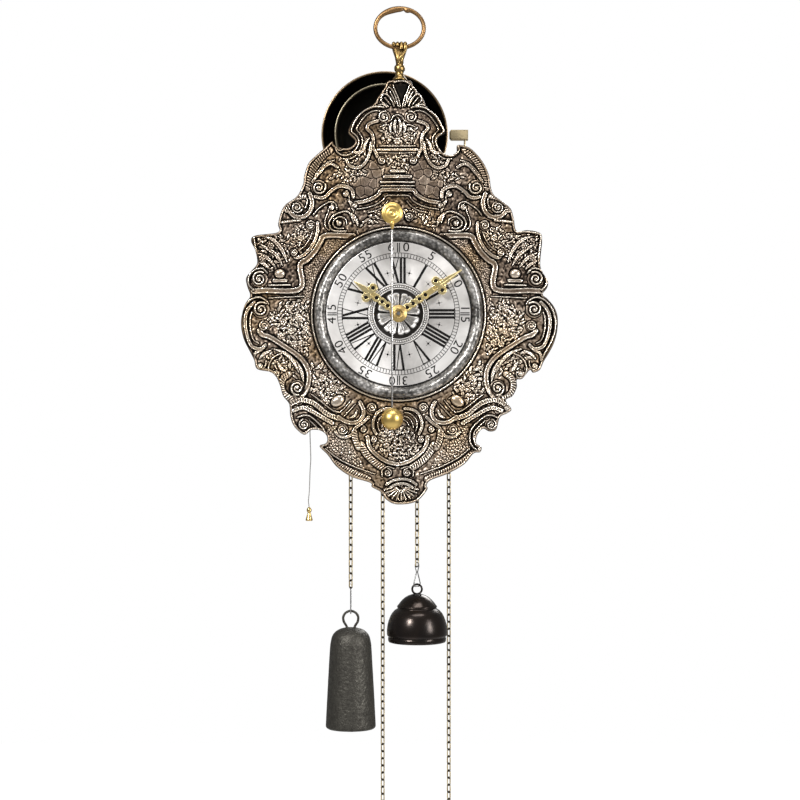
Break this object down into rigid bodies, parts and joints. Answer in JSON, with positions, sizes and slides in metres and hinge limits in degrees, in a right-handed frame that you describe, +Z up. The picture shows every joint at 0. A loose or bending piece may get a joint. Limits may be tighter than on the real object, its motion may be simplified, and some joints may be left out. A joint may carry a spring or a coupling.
{
  "type": "pendulum wall clock",
  "caption": "Wall clock with an embossed scroll-edged front plate, round dial, front-swinging pendulum, nested bells and chain-driven weights.",
  "frame": {"origin": "where a wall hook bears inside the top of the hanging ring", "axes": "+Z up, +Y back towards the wall, +X to the right seen from the front"},
  "size_m": [0.2764, 0.1136, 0.7224],
  "materials": {
    "silvered": "satin, patinated",
    "pewter": "engraved",
    "dark_pewter": "dark, worn",
    "brass": "polished, aged",
    "steel": "bright",
    "iron": "rusty brown, dull",
    "bronze": "dark brown patina",
    "thread": "twisted thread"
  },
  "bodies": {
    "frame": {"front_plate": "silvered", "dial": "pewter", "dial_border": "dark_pewter", "movement_front_plate": "brass", "movement_back_plate": "brass", "pillar_upper_left": "brass", "pillar_upper_right": "brass", "pillar_lower_left": "brass", "pillar_lower_right": "brass", "wall_spacer_left": "brass", "wall_spacer_right": "brass", "hanger_strap": "iron", "finial": "brass", "bell_stand": "iron", "outer_bell": "bronze", "inner_bell": "bronze", "bell_nut": "brass", "potence": "brass", "going_chain": "brass", "striking_chain": "brass"},
    "ring": {"hanging_ring": "bronze"},
    "minute": {"centre_arbor": "steel", "centre_wheel": "brass", "cannon_pinion": "brass", "minute_hand": "brass", "hand_collet": "brass"},
    "hour": {"hour_wheel": "brass", "hour_hand": "brass"},
    "minute_wheel": {"minute_wheel": "brass"},
    "going_great": {"going_great_wheel": "brass", "going_arbor": "steel"},
    "going_sprocket": {"going_sprocket": "brass", "going_click": "steel"},
    "contrate": {"contrate_wheel": "brass", "contrate_arbor": "steel"},
    "crown": {"crown_wheel": "brass", "crown_arbor": "steel"},
    "pendulum": {"verge": "steel", "pendulum_disc": "brass", "pendulum_rod": "steel", "pendulum_bob": "brass"},
    "striking_great": {"striking_great_wheel": "brass", "striking_arbor": "steel"},
    "striking_sprocket": {"striking_sprocket": "brass", "striking_click": "steel"},
    "locking": {"locking_wheel": "brass"},
    "warning": {"warning_wheel": "brass"},
    "fly": {"fly": "steel"},
    "strike_hammer": {"strike_hammer": "brass"},
    "quarter_hammer": {"quarter_hammer": "brass"},
    "lever": {"repeat_lever": "steel"},
    "pull": {"repeat_cord": "thread", "repeat_toggle": "brass"},
    "going_weight": {"going_weight": "iron", "going_hook": "steel"},
    "going_tail": {"going_tail_ring": "brass"},
    "striking_weight": {"striking_weight": "bronze", "striking_hook": "steel"},
    "striking_tail": {"striking_tail_ring": "brass"}
  },
  "joints": [
    {"name": "ring_swing", "type": "hinge", "parent": "frame", "child": "ring", "pos_m": [0, 0, -0.0298], "axis": [1, 0, 0], "range_deg": [-80, 80]},
    {"name": "minute_turn", "type": "hinge", "parent": "frame", "child": "minute", "pos_m": [-0.001, -0.009, -0.263], "axis": [0, 1, 0], "continuous": true},
    {"name": "hour_turn", "type": "hinge", "parent": "frame", "child": "hour", "pos_m": [-0.001, -0.009, -0.263], "axis": [0, 1, 0], "continuous": true},
    {"name": "minute_wheel_turn", "type": "hinge", "parent": "frame", "child": "minute_wheel", "pos_m": [0.01137, 0.005, -0.27537], "axis": [0, 1, 0], "continuous": true},
    {"name": "going_great_turn", "type": "hinge", "parent": "frame", "child": "going_great", "pos_m": [-0.0294, 0.026, -0.283], "axis": [0, 1, 0], "continuous": true},
    {"name": "contrate_turn", "type": "hinge", "parent": "frame", "child": "contrate", "pos_m": [-0.0065, 0.041, -0.23381], "axis": [0, 1, 0], "continuous": true},
    {"name": "crown_turn", "type": "hinge", "parent": "frame", "child": "crown", "pos_m": [-0.0065, 0.036, -0.203], "axis": [0, 0, 1], "continuous": true},
    {"name": "pendulum_swing", "type": "hinge", "parent": "frame", "child": "pendulum", "pos_m": [-0.0065, -0.029, -0.177], "axis": [0, 1, 0], "range_deg": [-18, 18]},
    {"name": "going_weight_travel", "type": "slide", "parent": "frame", "child": "going_weight", "axis": [0, 0, 1], "range_m": [-0.3, 0.15], "deforming": ["going_chain"]},
    {"name": "going_sprocket_turn", "type": "hinge", "parent": "frame", "child": "going_sprocket", "pos_m": [-0.0294, 0.036, -0.283], "axis": [0, 1, 0], "continuous": true},
    {"name": "going_tail_travel", "type": "slide", "parent": "frame", "child": "going_tail", "axis": [0, 0, 1], "range_m": [-0.15, 0.3]},
    {"name": "striking_weight_travel", "type": "slide", "parent": "frame", "child": "striking_weight", "axis": [0, 0, 1], "range_m": [-0.3, 0.15], "deforming": ["striking_chain"]},
    {"name": "striking_sprocket_turn", "type": "hinge", "parent": "frame", "child": "striking_sprocket", "pos_m": [0.0298, 0.036, -0.283], "axis": [0, 1, 0], "continuous": true},
    {"name": "striking_tail_travel", "type": "slide", "parent": "frame", "child": "striking_tail", "axis": [0, 0, 1], "range_m": [-0.15, 0.3]},
    {"name": "locking_turn", "type": "hinge", "parent": "frame", "child": "locking", "pos_m": [0.027, 0.031, -0.2507], "axis": [0, 1, 0], "continuous": true},
    {"name": "striking_great_turn", "type": "hinge", "parent": "frame", "child": "striking_great", "pos_m": [0.0298, 0.026, -0.283], "axis": [0, 1, 0], "continuous": true},
    {"name": "warning_turn", "type": "hinge", "parent": "frame", "child": "warning", "pos_m": [0.038, 0.045, -0.22853], "axis": [0, 1, 0], "continuous": true},
    {"name": "fly_turn", "type": "hinge", "parent": "frame", "child": "fly", "pos_m": [0.042, 0.038, -0.21283], "axis": [0, 1, 0], "continuous": true},
    {"name": "strike_hammer_swing", "type": "hinge", "parent": "frame", "child": "strike_hammer", "pos_m": [0.053, 0.027, -0.249], "axis": [0, 1, 0], "range_deg": [0, 18], "stiffness_Nm_per_rad": 0.03, "springref_deg": -17.19},
    {"name": "quarter_hammer_swing", "type": "hinge", "parent": "frame", "child": "quarter_hammer", "pos_m": [-0.055, 0.019, -0.249], "axis": [0, -1, 0], "range_deg": [0, 18], "stiffness_Nm_per_rad": 0.03, "springref_deg": -17.19},
    {"name": "repeat_pull", "type": "slide", "parent": "frame", "child": "pull", "axis": [0, 0, -1], "range_m": [0, 0.0096], "stiffness_N_per_m": 60, "springref_m": -0.005},
    {"name": "repeat_lever_swing", "type": "hinge", "parent": "frame", "child": "lever", "pos_m": [-0.053, 0.016, -0.299], "axis": [0, -1, 0], "range_deg": [0, 22]}
  ],
  "couplings": [
    {"joint": "hour_turn", "follows": "minute_turn", "ratio": 0.083333},
    {"joint": "minute_wheel_turn", "follows": "minute_turn", "ratio": -0.33333},
    {"joint": "going_great_turn", "follows": "minute_turn", "ratio": -0.25},
    {"joint": "contrate_turn", "follows": "minute_turn", "ratio": -10},
    {"joint": "crown_turn", "follows": "minute_turn", "ratio": 90},
    {"joint": "going_sprocket_turn", "follows": "going_weight_travel", "rad_per_m": 70.085},
    {"joint": "going_tail_travel", "follows": "going_weight_travel", "ratio": -1},
    {"joint": "striking_sprocket_turn", "follows": "striking_weight_travel", "rad_per_m": 70.085},
    {"joint": "striking_tail_travel", "follows": "striking_weight_travel", "ratio": -1},
    {"joint": "striking_great_turn", "follows": "locking_turn", "ratio": -0.16667},
    {"joint": "warning_turn", "follows": "locking_turn", "ratio": -10},
    {"joint": "fly_turn", "follows": "locking_turn", "ratio": 80},
    {"joint": "repeat_lever_swing", "follows": "repeat_pull", "rad_per_m": 38.462}
  ]
}
